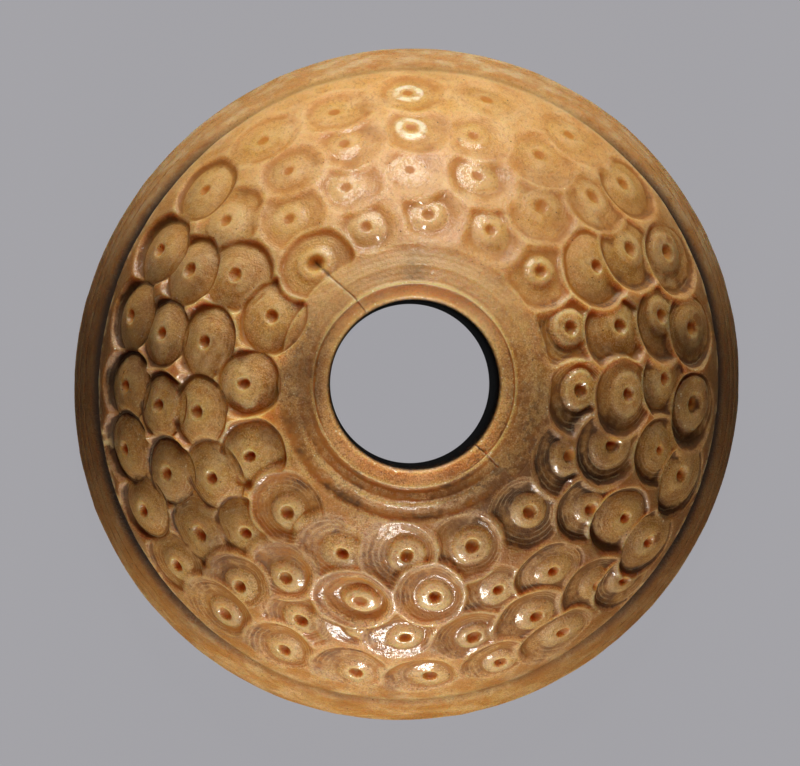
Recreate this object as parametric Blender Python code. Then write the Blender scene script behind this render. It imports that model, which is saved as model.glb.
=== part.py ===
"""Bone spindle whorl: a turned dome with a round bore and four rings of circle-and-dot marks.

The work is done in millimetres and scaled to metres at the very end. The whorl stands on its flat
underside, its bore runs up +Z, and the centre of its outline at the underside is the origin.
"""
import math

import bpy
import numpy as np
from mathutils import Matrix

MILLIMETRE = 0.001

# The blank
RIM_RADIUS = 13.0
DOME_RADIUS = 12.95
DOME_CENTRE_Z = 0.0
BORE_RADIUS = 3.11
BORE_OFFSET_X = 0.12
OVAL_SHARE = 0.011
OVAL_DIRECTION_DEG = 59.0

# The turned collar round the bore: where each turned line runs and how far below the dome
LIP_CHAMFER = 0.14
LIP_OUTER_RADIUS = 3.70
LIP_LEVEL_Z = 12.2
COLLAR_GROOVE_RADIUS = 3.96
COLLAR_GROOVE_DEPTH = 0.33
COLLAR_RIDGE_RADIUS = 4.42
COLLAR_RIDGE_DEPTH = 0.07
SMALL_GROOVE_RADIUS = 4.76
SMALL_GROOVE_DEPTH = 0.17
COLLAR_END_RADIUS = 5.02

# The rim: a hollow groove under the marks, a plain band, a rounded foot and a flat underside
RIM_GROOVE_START_DEG = 64.6
RIM_GROOVE_DEG = 66.6
RIM_GROOVE_DEPTH = 0.26
BAND_TOP_DEG = 68.6
BAND_STEPS = 40
BAND_LINES = (0.20, 0.38)
BAND_LINE_WIDTH = 0.05
BAND_LINE_DEPTH = 0.07
FOOT_RADIUS = 0.8
FOOT_STEPS = 6
UNDERSIDE_RING_RADIUS = 4.6
UNDERSIDE_RING_WIDTH = 0.35
UNDERSIDE_RING_DEPTH = 0.12

# One mark, as shares of its outer radius and depths below the dome: a pit, a boss, a groove
MARK_RADIUS = 1.40
PIT_DEPTH = 0.55
PIT_FLOOR_SHARE = 0.07
PIT_SHARE = 0.19
BOSS_DEPTH = 0.03
BOSS_SHARE = 0.46
GROOVE_DEPTH = 0.28
GROOVE_START_SHARE = 0.86
GROOVE_END_SHARE = 0.92

# Each ring of marks: how many, the angle from the bore's axis, the turn of the first mark, how
# the hand's spacing and height drift round the dome (size and direction of three slow waves),
# and where the hand strayed from that: for the number of a mark, how far on and how far down
MARK_ROWS = (
    {"count": 16, "tilt": 29.0, "turn": 20.0, "size": 1.03,
     "spacing": ((2.2, 254.0), (1.8, 37.0), (0.6, 242.0)),
     "height": ((1.0, 286.0), (0.9, 97.0), (0.9, 246.0)),
     "strays": {10: (0.5, 1.5)}},
    {"count": 20, "tilt": 38.8, "turn": 20.6, "size": 1.00,
     "spacing": ((3.9, 215.0), (0.4, 235.0), (1.4, 178.0)),
     "height": ((1.2, 292.0), (0.6, 107.0), (0.5, 201.0)),
     "strays": {1: (-2.0, 0.0), 6: (-1.5, 0.0), 12: (-1.5, 1.5), 14: (1.0, -2.0),
                16: (-2.5, 3.0), 18: (2.5, -1.5)}},
    {"count": 24, "tilt": 48.2, "turn": 1.6, "size": 0.97,
     "spacing": ((2.2, 187.0), (1.8, 51.0), (0.6, 15.0)),
     "height": ((1.2, 321.0), (0.3, 16.0), (1.4, 208.0)),
     "strays": {1: (-1.5, 1.5), 5: (1.0, -1.5), 8: (-1.5, 0.0), 9: (1.5, 0.0),
                12: (0.5, -1.5), 15: (0.0, 2.0), 16: (1.0, 1.5), 17: (1.0, -2.0),
                18: (-2.0, -1.0), 21: (0.0, 3.5), 22: (-1.0, -2.5)}},
    {"count": 25, "tilt": 58.3, "turn": 16.1, "size": 0.97,
     "spacing": ((4.7, 152.0), (1.2, 252.0), (1.0, 153.0)),
     "height": ((0.6, 294.0), (0.6, 115.0), (0.8, 207.0)),
     "strays": {3: (-1.5, 0.0), 6: (0.0, -1.5), 11: (0.5, -1.5), 21: (3.0, 0.5),
                22: (-1.5, -1.0)}},
)

# How finely the blank is turned before carving, and how many triangles are kept at the end
TURNING_STEPS = 720
LINE_STEP = 0.11
KEPT_TRIANGLES = 9600
FLAT_TOLERANCE = 0.03

BONE_COLOR = (0.56, 0.34, 0.13, 1.0)
BONE_ROUGHNESS = 0.38


def wave(terms, turn_deg):
    """Sum of slow waves round the dome, each with a size and the direction where it is greatest."""
    total = 0.0
    for order, (size, direction_deg) in enumerate(terms, start=1):
        total += size * math.cos(math.radians(order * turn_deg - direction_deg))
    return total


def dome_point(tilt_deg, depth=0.0):
    """A point of the dome's section, cut below its surface by depth."""
    reach = DOME_RADIUS - depth
    tilt = math.radians(tilt_deg)
    return (reach * math.sin(tilt), DOME_CENTRE_Z + reach * math.cos(tilt))


def collar_point(radius, depth=0.0):
    """A point of the collar's section, cut straight down below the dome by depth."""
    return (radius, DOME_CENTRE_Z + math.sqrt(DOME_RADIUS ** 2 - radius ** 2) - depth)


def finely(points):
    """The same line with its long stretches divided."""
    divided = []
    for first, second in zip(points, points[1:]):
        pieces = max(1, math.ceil(math.dist(first, second) / LINE_STEP))
        for piece in range(pieces):
            share = piece / pieces
            radius = first[0] + share * (second[0] - first[0])
            height = first[1] + share * (second[1] - first[1])
            divided.append((radius, height))
    return divided + [points[-1]]


def upper_section():
    """The half section from the lip round the bore, down the dome, to the top of the band."""
    points = [(BORE_RADIUS + LIP_CHAMFER, LIP_LEVEL_Z)]
    points.append((LIP_OUTER_RADIUS, LIP_LEVEL_Z))
    points.append(collar_point(COLLAR_GROOVE_RADIUS, COLLAR_GROOVE_DEPTH))
    points.append(collar_point(COLLAR_RIDGE_RADIUS, COLLAR_RIDGE_DEPTH))
    points.append(collar_point(SMALL_GROOVE_RADIUS, SMALL_GROOVE_DEPTH))
    start_deg = math.degrees(math.asin(COLLAR_END_RADIUS / DOME_RADIUS))
    steps = math.ceil(math.radians(RIM_GROOVE_START_DEG - start_deg) * DOME_RADIUS / LINE_STEP)
    for step in range(steps + 1):
        points.append(dome_point(start_deg + step / steps * (RIM_GROOVE_START_DEG - start_deg)))
    points.append(dome_point(RIM_GROOVE_DEG, RIM_GROOVE_DEPTH))
    points.append(dome_point(BAND_TOP_DEG))
    return finely(points)


def lower_section():
    """The half section down the plain band, round the foot and in along the underside."""
    points = []
    band_top_radius, band_top_z = dome_point(BAND_TOP_DEG)
    for step in range(1, BAND_STEPS + 1):
        share = step / BAND_STEPS
        swell = math.sin(share * math.pi / 2)
        radius = band_top_radius + swell * (RIM_RADIUS - band_top_radius)
        for line in BAND_LINES:
            radius -= BAND_LINE_DEPTH * max(0.0, 1 - abs(share - line) / BAND_LINE_WIDTH)
        points.append((radius, band_top_z + share * (FOOT_RADIUS - band_top_z)))
    for step in range(1, FOOT_STEPS + 1):
        turn = math.radians(90.0 * step / FOOT_STEPS)
        radius = RIM_RADIUS - FOOT_RADIUS * (1 - math.cos(turn))
        points.append((radius, FOOT_RADIUS * (1 - math.sin(turn))))
    points.append((UNDERSIDE_RING_RADIUS + UNDERSIDE_RING_WIDTH, 0.0))
    points.append((UNDERSIDE_RING_RADIUS, UNDERSIDE_RING_DEPTH))
    points.append((UNDERSIDE_RING_RADIUS - UNDERSIDE_RING_WIDTH, 0.0))
    points.append((BORE_RADIUS + LIP_CHAMFER, 0.0))
    points.append((BORE_RADIUS, LIP_CHAMFER))
    points.append((BORE_RADIUS, LIP_LEVEL_Z - LIP_CHAMFER))
    return points


def apply_modifier(target, modifier):
    """Apply one modifier of an object."""
    bpy.context.view_layer.objects.active = target
    bpy.ops.object.modifier_apply(modifier=modifier.name)


def turned_blank():
    """Turn the closed section round the axis."""
    mesh = bpy.data.meshes.new("whorl")
    points = upper_section() + lower_section()
    vertices = [(radius, 0.0, height) for radius, height in points]
    edges = [(index, (index + 1) % len(points)) for index in range(len(points))]
    mesh.from_pydata(vertices, edges, [])
    blank = bpy.data.objects.new("whorl", mesh)
    bpy.context.collection.objects.link(blank)
    turning = blank.modifiers.new("turning", "SCREW")
    turning.axis = "Z"
    turning.steps = TURNING_STEPS
    turning.render_steps = TURNING_STEPS
    turning.use_merge_vertices = True
    turning.merge_threshold = 0.0001
    turning.use_normal_calculate = True
    apply_modifier(blank, turning)
    return blank


def mark_places():
    """The direction of every mark from the dome's centre, with the mark's outer radius."""
    places = []
    for row in MARK_ROWS:
        for index in range(row["count"]):
            turn_deg = row["turn"] + 360.0 * index / row["count"]
            turn_deg += wave(row["spacing"], turn_deg)
            tilt_deg = row["tilt"] + wave(row["height"], turn_deg)
            stray_turn_deg, stray_tilt_deg = row["strays"].get(index, (0.0, 0.0))
            turn_deg += stray_turn_deg
            tilt = math.radians(tilt_deg + stray_tilt_deg)
            turn = math.radians(turn_deg)
            across = math.sin(tilt)
            direction = (across * math.cos(turn), across * math.sin(turn), math.cos(tilt))
            places.append((direction, MARK_RADIUS * row["size"]))
    return places


def mark_depth(distance, radius):
    """Depth of one mark below the dome at a distance from its middle."""
    shares = (PIT_FLOOR_SHARE, PIT_SHARE, BOSS_SHARE, GROOVE_START_SHARE, GROOVE_END_SHARE, 1.0)
    depths = (PIT_DEPTH, BOSS_DEPTH, BOSS_DEPTH, GROOVE_DEPTH, GROOVE_DEPTH, 0.0)
    return np.interp(distance / radius, shares, depths)


def carve(blank):
    """Bore the marks: wherever two of them overlap, the deeper cut stands."""
    count = len(blank.data.vertices)
    spots = np.empty(count * 3)
    blank.data.vertices.foreach_get("co", spots)
    spots = spots.reshape(count, 3)
    from_centre = spots - np.array((0.0, 0.0, DOME_CENTRE_Z))
    reach = np.linalg.norm(from_centre, axis=1)
    direction = from_centre / reach[:, None]
    depth = np.zeros(count)
    for axis, radius in mark_places():
        distance = DOME_RADIUS * np.arccos(np.clip(direction @ np.array(axis), -1.0, 1.0))
        depth = np.maximum(depth, mark_depth(distance, radius))
    upper = np.hypot(spots[:, 0], spots[:, 1]) > COLLAR_RIDGE_RADIUS
    upper &= direction[:, 2] > math.cos(math.radians(BAND_TOP_DEG))
    reach = np.where(upper & (depth > 0.0), np.minimum(reach, DOME_RADIUS - depth), reach)
    spots = direction * reach[:, None] + np.array((0.0, 0.0, DOME_CENTRE_Z))
    blank.data.vertices.foreach_set("co", spots.ravel())
    blank.data.update()


def shift_and_oval(target):
    """Set the turned work a little off the outline's centre, and make the outline slightly oval."""
    direction = math.radians(OVAL_DIRECTION_DEG)
    for vertex in target.data.vertices:
        spot = vertex.co
        radius = math.hypot(spot.x, spot.y)
        turn = math.atan2(spot.y, spot.x)
        share = max(0.0, (radius - BORE_RADIUS) / (RIM_RADIUS - BORE_RADIUS))
        swell = 1 + OVAL_SHARE * share * math.cos(2 * (turn - direction))
        spot.x = spot.x * swell + BORE_OFFSET_X * (1 - share)
        spot.y = spot.y * swell


def simplify(target):
    """Keep the triangles that describe the form, and drop the rest."""
    target.data.calc_loop_triangles()
    simplifying = target.modifiers.new("simplifying", "DECIMATE")
    simplifying.ratio = KEPT_TRIANGLES / len(target.data.loop_triangles)
    simplifying.use_collapse_triangulate = True
    apply_modifier(target, simplifying)


def true_up(target):
    """Bring the underside and the lip round the bore back to their flat planes."""
    for vertex in target.data.vertices:
        for level in (0.0, LIP_LEVEL_Z):
            if abs(vertex.co.z - level) < FLAT_TOLERANCE:
                vertex.co.z = level


def bone():
    """Old polished bone, honey to amber."""
    material = bpy.data.materials.new("bone")
    material.use_nodes = True
    surface = material.node_tree.nodes["Principled BSDF"]
    surface.inputs["Base Color"].default_value = BONE_COLOR
    surface.inputs["Roughness"].default_value = BONE_ROUGHNESS
    surface.inputs["Metallic"].default_value = 0.0
    return material


def build():
    """Turn, carve, simplify and colour the whorl."""
    for leftover in list(bpy.data.objects):
        bpy.data.objects.remove(leftover, do_unlink=True)
    whorl = turned_blank()
    carve(whorl)
    shift_and_oval(whorl)
    simplify(whorl)
    true_up(whorl)
    whorl.data.transform(Matrix.Scale(MILLIMETRE, 4))
    whorl.data.materials.clear()
    whorl.data.materials.append(bone())


build()
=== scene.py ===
# %% Open the frame
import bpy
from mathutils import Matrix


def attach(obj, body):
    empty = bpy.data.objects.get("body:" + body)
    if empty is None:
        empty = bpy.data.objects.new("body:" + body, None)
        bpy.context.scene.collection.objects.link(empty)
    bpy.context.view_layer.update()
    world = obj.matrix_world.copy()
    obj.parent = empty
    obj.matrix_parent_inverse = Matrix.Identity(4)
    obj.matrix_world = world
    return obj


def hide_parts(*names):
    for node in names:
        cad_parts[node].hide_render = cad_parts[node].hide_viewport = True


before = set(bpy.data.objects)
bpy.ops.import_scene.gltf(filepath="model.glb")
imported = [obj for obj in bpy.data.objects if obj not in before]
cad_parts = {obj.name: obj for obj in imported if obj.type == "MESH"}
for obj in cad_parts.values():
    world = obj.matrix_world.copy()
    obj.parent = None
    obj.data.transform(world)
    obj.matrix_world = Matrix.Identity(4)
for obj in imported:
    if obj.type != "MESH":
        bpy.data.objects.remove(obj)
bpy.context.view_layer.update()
print("frame nodes:", sorted(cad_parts))

# %% [markdown]
# # A bone spindle whorl
# A spindle whorl is a small weight that keeps a hand spindle turning while thread is spun.
# This one was turned on a lathe from one piece of bone: a dome about as wide as a large coin, with
# a round bore for the spindle, a turned collar at its mouth and a plain band at the rim. Then its
# dome was covered with circle-and-dot marks, each bored with one turn of a small forked bit.
# The lesson has three parts: turn the blank, bore the marks, then give it the look of old bone.

# %% Tools
import math
import random

import bpy
import numpy as np
from mathutils import Matrix, Vector

print("modelling with Blender", bpy.app.version_string)

# %% [markdown]
# ## The section of the blank
# A turned thing is fully described by half of its section: the line that the turning tool
# follows. It could be drawn as a curve, but points worked out from a few named sizes are easier
# to change. Sizes are in millimetres, because Blender's merging distances suit things of about
# this many units, and the last step scales the whorl down. Angles are tilts in degrees from the
# bore's axis, as on a globe seen from its pole.

# %% Sizes of the section
RIM_RADIUS = 13.0
DOME_RADIUS = 12.95
BORE_RADIUS = 3.11
LIP_CHAMFER = 0.12
LIP_LEVEL = 12.2
LIP_OUTER_RADIUS = 3.68
COLLAR_RIDGE_RADIUS = 4.42
COLLAR_END_RADIUS = 5.08
DOME_END = 66.6
RIM_GROOVE = 68.8
BAND_TOP = 70.2
FOOT_RADIUS = 0.8
print("whorl across, mm:", 2 * RIM_RADIUS, "bore:", 2 * BORE_RADIUS)


# %% Points on the dome and the collar
def dome_point(tilt):
    """The point of the dome's section at an angle from the bore's axis."""
    return (DOME_RADIUS * math.sin(math.radians(tilt)), DOME_RADIUS * math.cos(math.radians(tilt)))


def collar_point(radius, depth):
    """A point of the collar's section, cut straight down below the dome by depth."""
    return (radius, math.sqrt(DOME_RADIUS ** 2 - radius ** 2) - depth)


def finely(points, step):
    """The same line with its long stretches divided."""
    divided = []
    for first, second in zip(points, points[1:]):
        pieces = max(1, math.ceil(math.dist(first, second) / step))
        for piece in range(pieces):
            share = piece / pieces
            divided.append((first[0] + share * (second[0] - first[0]),
                            first[1] + share * (second[1] - first[1])))
    return divided + [points[-1]]


print("the dome ends at, mm:", [round(value, 2) for value in dome_point(DOME_END)])

# %% [markdown]
# ## From the lip to the rim
# The line starts on the flat lip at the mouth of the bore, drops into the collar's groove, climbs
# its ridge, and runs down the dome. The collar is given as radii with the depth that the tool
# went below the dome at each, because that is how a turner would measure it.

# %% The upper side
COLLAR_LINES = ((3.75, 0.21), (3.83, 0.31), (3.91, 0.32), (4.00, 0.28), (4.12, 0.24), (4.24, 0.19),
                (4.33, 0.12), (4.39, 0.07), (4.46, 0.07), (4.54, 0.11), (4.64, 0.13), (4.76, 0.14),
                (4.88, 0.12), (4.98, 0.07))
DOME_STEP = 0.4
upper = [(BORE_RADIUS, LIP_LEVEL - LIP_CHAMFER), (BORE_RADIUS + LIP_CHAMFER, LIP_LEVEL),
         (LIP_OUTER_RADIUS, LIP_LEVEL)]
upper += [collar_point(*spot) for spot in COLLAR_LINES]
dome_start = math.degrees(math.asin(COLLAR_END_RADIUS / DOME_RADIUS))
upper += [dome_point(tilt) for tilt in np.arange(dome_start, DOME_END, DOME_STEP)]
upper += [dome_point(RIM_GROOVE), dome_point(BAND_TOP)]
print("points on the upper side:", len(upper))

# %% [markdown]
# ## The band, the foot and the underside
# The plain band swells to the widest line low down, and a rounded foot leads to the flat
# underside. One shallow turned ring is all that the underside has. The bore goes straight up.

# %% The lower side
BAND_POINTS = 60
FOOT_POINTS = 12
UNDERSIDE_RING = (4.6, 0.35, 0.12)
FINE_STEP = 0.045
UNDERSIDE_STEP = 0.35
BORE_STEP = 0.25
band_top = dome_point(BAND_TOP)
band = []
for share in np.linspace(0.0, 1.0, BAND_POINTS)[1:]:
    swell = math.sin(share * math.pi / 2)
    band.append((band_top[0] + swell * (RIM_RADIUS - band_top[0]),
                 band_top[1] + share * (FOOT_RADIUS - band_top[1])))
foot = [(RIM_RADIUS - FOOT_RADIUS * (1 - math.cos(turn)), FOOT_RADIUS * (1 - math.sin(turn)))
        for turn in np.linspace(0.0, math.pi / 2, FOOT_POINTS)[1:]]
ring_radius, ring_width, ring_depth = UNDERSIDE_RING
underside = [foot[-1], (ring_radius + ring_width, 0.0), (ring_radius, ring_depth),
             (ring_radius - ring_width, 0.0), (BORE_RADIUS + LIP_CHAMFER, 0.0),
             (BORE_RADIUS, LIP_CHAMFER)]
bore = [underside[-1], upper[0]]
section = finely(upper, FINE_STEP) + band + foot[:-1]
section += finely(underside, UNDERSIDE_STEP)[:-1] + finely(bore, BORE_STEP)
print("points in the section:", len(section))

# %% [markdown]
# ## Turn the blank
# By hand, one vertex is extruded from point to point to draw the section. Spin would then sweep
# it round the axis in edit mode. A Screw modifier makes the same shape, and is quicker for a
# sweep as fine as this one, which has to be fine because the marks are sunk into its vertices.


# %% Draw the section
def draw_line(name, points):
    """A line of vertices, drawn by extruding one vertex from point to point."""
    bpy.ops.object.select_all(action="DESELECT")
    bpy.ops.mesh.primitive_plane_add(size=1.0, location=(0.0, 0.0, 0.0))
    line = bpy.context.object
    line.name = name
    line.data.name = name
    bpy.ops.object.mode_set(mode="EDIT")
    bpy.ops.mesh.merge(type="CENTER")
    bpy.ops.transform.translate(value=(points[0][0], 0.0, points[0][1]))
    here = points[0]
    for there in points[1:]:
        move = (there[0] - here[0], 0.0, there[1] - here[1])
        bpy.ops.mesh.extrude_region_move(TRANSFORM_OT_translate={"value": move})
        here = there
    bpy.ops.object.mode_set(mode="OBJECT")
    return line


whorl = draw_line("carved_whorl", section)
print("drawn line:", len(whorl.data.vertices), "vertices")

# %% Sweep it round
TURNING_STEPS = 1440
SEAM_GAP = 0.0001
DOUBLE_GAP = 0.0005


def only(piece):
    """Select one object alone and make it the active one."""
    bpy.ops.object.select_all(action="DESELECT")
    piece.select_set(True)
    bpy.context.view_layer.objects.active = piece


only(whorl)
turning = whorl.modifiers.new("turning", "SCREW")
turning.steps = TURNING_STEPS
turning.render_steps = TURNING_STEPS
turning.use_merge_vertices = True
turning.merge_threshold = SEAM_GAP
turning.use_normal_calculate = True
bpy.ops.object.modifier_apply(modifier=turning.name)
bpy.ops.object.mode_set(mode="EDIT")
bpy.ops.mesh.select_all(action="SELECT")
bpy.ops.mesh.remove_doubles(threshold=DOUBLE_GAP)
bpy.ops.mesh.normals_make_consistent(inside=False)
bpy.ops.object.mode_set(mode="OBJECT")
print("turned blank:", len(whorl.data.vertices), "vertices")

# %% [markdown]
# ## Plan the marks
# There are four rings of marks. The carver set them out by eye, so their spacing and height
# drift in slow waves round the dome. A ring is given by its count, the tilt of its middle, the
# turn of its first mark, how much larger its marks are, how far the bit leaned towards the bore,
# the waves in its spacing and height, and how far single marks stray in turn and tilt.

# %% Rings of marks
ROWS = (
    {"count": 16, "tilt": 29.0, "turn": 20.0, "size": 1.0, "lean": -1.0,
     "spacing": ((2.2, 254.0), (1.8, 37.0), (0.6, 242.0)),
     "height": ((1.0, 286.0), (0.9, 97.0), (0.9, 246.0)),
     "strays": {10: (0.5, 1.5)}},
    {"count": 20, "tilt": 38.8, "turn": 20.6, "size": 1.0, "lean": 1.0,
     "spacing": ((3.9, 215.0), (0.4, 235.0), (1.4, 178.0)),
     "height": ((1.2, 292.0), (0.6, 107.0), (0.5, 201.0)),
     "strays": {1: (-2.0, 0.0), 6: (-1.5, 0.0), 12: (-1.5, 1.5), 14: (1.0, -2.0),
                16: (-2.5, 3.0), 18: (2.5, -1.5)}},
    {"count": 24, "tilt": 48.2, "turn": 1.6, "size": 1.0, "lean": 4.5,
     "spacing": ((2.2, 187.0), (1.8, 51.0), (0.6, 15.0)),
     "height": ((1.2, 321.0), (0.3, 16.0), (1.4, 208.0)),
     "strays": {1: (-1.5, 1.5), 5: (1.0, -1.5), 8: (-1.5, 0.0), 9: (1.5, 0.0),
                12: (0.5, -1.5), 15: (0.0, 2.0), 16: (1.0, 1.5), 17: (1.0, -2.0),
                18: (-2.0, -1.0), 21: (0.0, 3.5), 22: (-1.0, -2.5)}},
    {"count": 25, "tilt": 58.3, "turn": 16.1, "size": 1.04, "lean": 7.0,
     "spacing": ((4.7, 152.0), (1.2, 252.0), (1.0, 153.0)),
     "height": ((0.6, 294.0), (0.6, 115.0), (0.8, 207.0)),
     "strays": {3: (-1.5, 0.0), 6: (0.0, -1.5), 11: (0.5, -1.5), 21: (3.0, 0.5),
                22: (-1.5, -1.0)}},
)


def wave(terms, turn):
    """Sum of slow waves round the whorl: each has a size and the direction where it is greatest."""
    total = 0.0
    for order, (size, direction) in enumerate(terms, start=1):
        total = total + size * np.cos(np.radians(order * turn - direction))
    return total


print("rings of marks:", [row["count"] for row in ROWS])

# %% [markdown]
# ## How the bit went in
# Each mark is a pit, a crowned boss round it and a cut round that, all left by one turn of the
# bit. Lengths across are shares of the mark's radius, and depths are in millimetres:
# - "boss" is the edge of the boss, "groove" the bottom of a groove, "rim" the edge of a dish;
# - "deep" is the depth of the cut, "crown" the fall of the boss to its edge, "base" the depth of
#   the whole mark, "wall" the hollowness of the dish, and three more values shape the pit;
# - "pillow" is 1 for a narrow groove round a cushion, and 0 for a dish round a flat boss;
# - "lean_bore" and "lean_side" tip it, "reach" pushes its edge off centre, "oval" draws it out;
# - "keep" is how much of an earlier mark is left where this one cuts over it.
#
# To the sides the marks are cushions, on the near side they are wide dishes, and on the far
# side hands have worn them shallow. Some single marks, given by ring and place in it, have
# manners of their own.

# %% Marks unlike the others
NOTABLE = {
    (0, 1): {"boss": 0.42, "crown": 0.05, "deep": 0.15},
    (0, 2): {"crown": 0.08, "deep": 0.10, "rim": 0.85},
    (0, 3): {"crown": 0.10, "deep": 0.11, "rim": 0.80},
    (0, 4): {"crown": 0.10, "deep": 0.11, "rim": 0.80},
    (0, 5): {"keep": 0.0, "deep": 0.22, "boss": 0.50, "crown": 0.08, "rim": 0.9, "pit": 0.24,
             "pit_depth": 0.36},
    (0, 11): {"keep": 0.0, "deep": 0.16, "boss": 0.50, "crown": 0.07, "wall": 1.0},
    (0, 12): {"keep": 0.1, "deep": 0.16},
    (1, 3): {"crown": 0.07, "deep": 0.08, "rim": 0.80},
    (1, 9): {"lean_side": 0.08},
    (1, 13): {"keep": 0.0, "deep": 0.25, "boss": 0.46, "crown": 0.06, "base": 0.08,
              "pit_depth": 0.1, "rim": 0.78},
    (1, 14): {"keep": 0.0, "deep": 0.15, "boss": 0.50},
    (1, 18): {"boss": 0.62, "crown": 0.14, "deep": 0.24, "pit": 0.22},
    # (2, 6) and (3, 5) get a pale ring painted round the pit, standing for their highlight
    (2, 6): {"highlight_ring": True},
    (2, 12): {"lean_side": 0.08},
    (2, 13): {"lean_side": 0.08},
    (2, 23): {"boss": 0.62, "crown": 0.14, "deep": 0.22, "pit": 0.13},
    (3, 5): {"highlight_ring": True},
    (3, 11): {"lean_side": 0.08},
    (3, 24): {"boss": 0.68, "pit": 0.28, "deep": 0.26},
}
print("marks with manners of their own:", len(NOTABLE))

# %% Plan every mark
MARK_RADIUS = 1.37
CUSHION_RADIUS = 1.50
hand = random.Random(7)


def ramp(value, low, high):
    """A smooth step from 0 at low to 1 at high."""
    share = np.clip((value - low) / (high - low), 0.0, 1.0)
    return share * share * (3.0 - 2.0 * share)


def mark_axes(row, index):
    """Bearing of a mark round the bore, and its directions outwards, downhill and sideways."""
    turn = row["turn"] + 360.0 * index / row["count"]
    turn += wave(row["spacing"], turn)
    tilt = row["tilt"] + wave(row["height"], turn)
    stray = row["strays"].get(index, (0.0, 0.0))
    bearing = math.radians(turn + stray[0])
    tilt = math.radians(tilt + stray[1])
    axis = np.array((math.sin(tilt) * math.cos(bearing),
                     math.sin(tilt) * math.sin(bearing), math.cos(tilt)))
    down = np.array((math.cos(tilt) * math.cos(bearing),
                     math.cos(tilt) * math.sin(bearing), -math.sin(tilt)))
    return bearing, axis, down, np.cross(axis, down)


def plan_mark(row_number, index):
    """One mark: where it is and how the bit went in."""
    row = ROWS[row_number]
    bearing, axis, down, across = mark_axes(row, index)
    left = float(ramp(-math.cos(bearing) + hand.uniform(-0.2, 0.2), 0.45, 0.8))
    right = float(ramp(math.cos(bearing), 0.3, 0.8))
    near = float(ramp(-math.sin(bearing), 0.2, 0.8))
    worn = (0.95 if row_number else 0.70) * float(ramp(math.sin(bearing), 0.35, 0.92))
    pillow = left + right * hand.uniform(0.45, 1.0) * (1.0 if row_number else 0.4)
    lean_bore = (row["lean"] * (1.0 - left) + hand.uniform(-1.5, 1.5)) * (1.0 - worn)
    lean_side = hand.uniform(0.0, 3.0) * (1.0 - worn) * (1.0 - 0.8 * left)
    lean_side += right * hand.uniform(1.0, 6.0) * (1.0 - worn)
    radius = MARK_RADIUS + (CUSHION_RADIUS - MARK_RADIUS) * max(left, right, 0.9 * near)
    mark = {
        "axis": axis, "down": down, "across": across, "pillow": pillow,
        "radius": radius * row["size"] * hand.uniform(0.95, 1.07),
        "groove": 0.88 + hand.uniform(-0.03, 0.03),
        "boss": 0.54 - 0.05 * near + hand.uniform(-0.06, 0.05),
        "rim": 0.95 - 0.10 * near - 0.15 * worn,
        "oval": 1.0 + hand.uniform(-0.06, 0.06),
        "base": 0.03 + hand.uniform(-0.02, 0.04),
        "deep": (0.14 + 0.18 * left + 0.11 * right - 0.03 * near
                 + hand.uniform(-0.03, 0.04)) * (1.0 - 0.8 * worn),
        "crown": (0.07 + 0.03 * near + hand.uniform(-0.02, 0.03)) * (1.0 - 0.65 * worn),
        "wall": hand.uniform(0.9, 1.5),
        "pit": 0.19 - 0.03 * near - 0.02 * worn + hand.uniform(-0.02, 0.025),
        "pit_wall": 1.4 + 1.0 * near,
        "pit_depth": (0.30 - 0.04 * near + hand.uniform(-0.05, 0.05)) * (1.0 - 0.85 * worn),
        "lean_bore": math.tan(math.radians(lean_bore)),
        "lean_side": math.tan(math.radians(lean_side)),
        "reach_way": math.radians(-125.0 + 12.0 * row_number + hand.uniform(-25.0, 25.0)),
        "reach": (0.18 + hand.uniform(-0.10, 0.08)) * (1.0 - 0.8 * left),
        "keep": 0.20 + 0.80 * float(ramp(left + hand.uniform(-0.2, 0.3), 0.3, 0.6)),
    }
    mark.update(NOTABLE.get((row_number, index), {}))
    return mark


marks = [plan_mark(row_number, index) for row_number, row in enumerate(ROWS)
         for index in range(row["count"])]
marks.sort(key=lambda mark: -mark["keep"])
print("marks:", len(marks))

# %% [markdown]
# ## What one turn of the bit leaves
# The depth of a mark depends on how far a place is from its pit, as a share of the way to the
# mark's edge. A dish falls in a step at the edge of the boss and rises slowly to the rim. A
# cushion falls all the way to a narrow groove. Each mark is a blend of the two, with a pit in
# its middle, and the whole is tipped as the bit leaned.

# %% The bit's cut
STEP_INSIDE = 0.12
STEP_OUTSIDE = 0.04
CUSHION_FALL = 1.6
GROOVE_WALL = 1.5
PIT_MARGIN = 1.1


def bit_share(mark, outward, sideways):
    """Share of the way from the pit's middle to the mark's edge, which leans off centre."""
    far = np.hypot(outward, sideways)
    turned = np.arctan2(sideways, outward) - mark["reach_way"]
    edge = (mark["reach"] * np.cos(turned)
            + np.sqrt(1.0 - (mark["reach"] * np.sin(turned)) ** 2))
    boss = mark["boss"]
    return np.where(far < boss, far, boss + (1.0 - boss) * (far - boss) / (edge - boss))


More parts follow.
